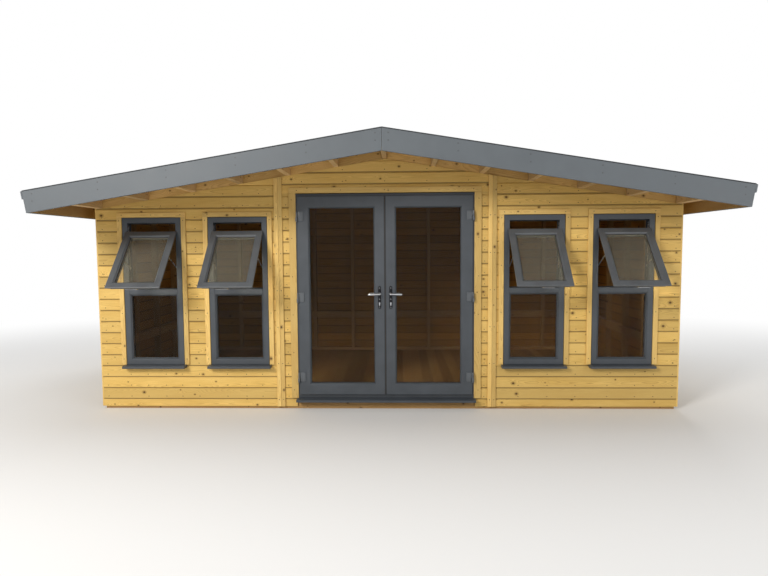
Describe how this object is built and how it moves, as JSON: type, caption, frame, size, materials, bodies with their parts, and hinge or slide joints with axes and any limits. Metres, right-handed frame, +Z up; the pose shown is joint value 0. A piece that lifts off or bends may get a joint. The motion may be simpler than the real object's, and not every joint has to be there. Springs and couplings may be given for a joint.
{
  "type": "timber garden office pod",
  "caption": "Low gabled timber garden office with a front canopy, glazed double doors and tall windows whose top sashes stand open",
  "frame": {"origin": "on the ground, centred under the roof's outline", "axes": "the doors face -Y, +X is to the right seen from the front, +Z is up"},
  "size_m": [6.3146, 3.9, 2.6649],
  "materials": {
    "pine_cladding": "sawn and planed, pressure treated, satin",
    "framing_timber": "rough sawn, matt",
    "floor_timber": "planed, matt",
    "trim_timber": "planed, satin",
    "roof_timber": "sawn, matt",
    "grey_upvc": "fine grain foil, satin",
    "glazing": "clear, polished",
    "chrome_furniture": "polished",
    "grey_hinge": "satin",
    "stay_steel": "brushed",
    "grey_fascia": "painted, satin",
    "roof_membrane": "matt",
    "drip_trim": "satin"
  },
  "bodies": {
    "pod": {"floor_bearers": "framing_timber", "floor_boards": "floor_timber", "front_cladding_left": "pine_cladding", "front_cladding_right": "pine_cladding", "front_cladding_beside_door": "pine_cladding", "front_cladding_over_door": "pine_cladding", "back_cladding": "pine_cladding", "left_cladding": "pine_cladding", "right_cladding": "pine_cladding", "front_studs_left": "framing_timber", "front_studs_right": "framing_timber", "door_posts": "framing_timber", "door_head_frame": "framing_timber", "back_studs": "framing_timber", "left_studs": "framing_timber", "right_studs": "framing_timber", "cover_strips": "trim_timber", "window_trims": "trim_timber", "door_trims": "trim_timber", "window_frames": "grey_upvc", "window_panes": "glazing", "window_sashes": "grey_upvc", "sash_panes": "glazing", "window_stays": "stay_steel", "sash_handles": "chrome_furniture", "window_cills": "grey_upvc", "door_frame": "grey_upvc", "door_cill": "grey_upvc", "frame_hinges": "grey_hinge", "purlins": "roof_timber", "purlin_blocks": "roof_timber", "roof_boards": "roof_timber", "roof_sheet": "roof_membrane", "front_fascias": "grey_fascia", "back_fascias": "grey_fascia", "eaves_fascias": "grey_fascia", "eaves_drips": "drip_trim"},
    "left_leaf": {"left_door": "grey_upvc", "left_door_glass": "glazing", "left_door_fittings": "chrome_furniture"},
    "left_lever": {"left_door_lever": "chrome_furniture"},
    "right_leaf": {"right_door": "grey_upvc", "right_door_glass": "glazing", "right_door_fittings": "chrome_furniture"},
    "right_lever": {"right_door_lever": "chrome_furniture"}
  },
  "joints": [
    {"name": "left_door_swing", "type": "hinge", "parent": "pod", "child": "left_leaf", "pos_m": [-0.877, -1.193, 0.1], "axis": [0, 0, -1], "range_deg": [0, 90]},
    {"name": "right_door_swing", "type": "hinge", "parent": "pod", "child": "right_leaf", "pos_m": [0.877, -1.193, 0.1], "axis": [0, 0, 1], "range_deg": [0, 90]},
    {"name": "left_lever_turn", "type": "hinge", "parent": "left_leaf", "child": "left_lever", "pos_m": [-0.0565, -1.179, 1.18], "axis": [0, -1, 0], "range_deg": [0, 40], "stiffness_Nm_per_rad": 1.5, "springref_deg": -20.05},
    {"name": "right_lever_turn", "type": "hinge", "parent": "right_leaf", "child": "right_lever", "pos_m": [0.0565, -1.179, 1.18], "axis": [0, 1, 0], "range_deg": [0, 40], "stiffness_Nm_per_rad": 1.5, "springref_deg": -20.05}
  ]
}
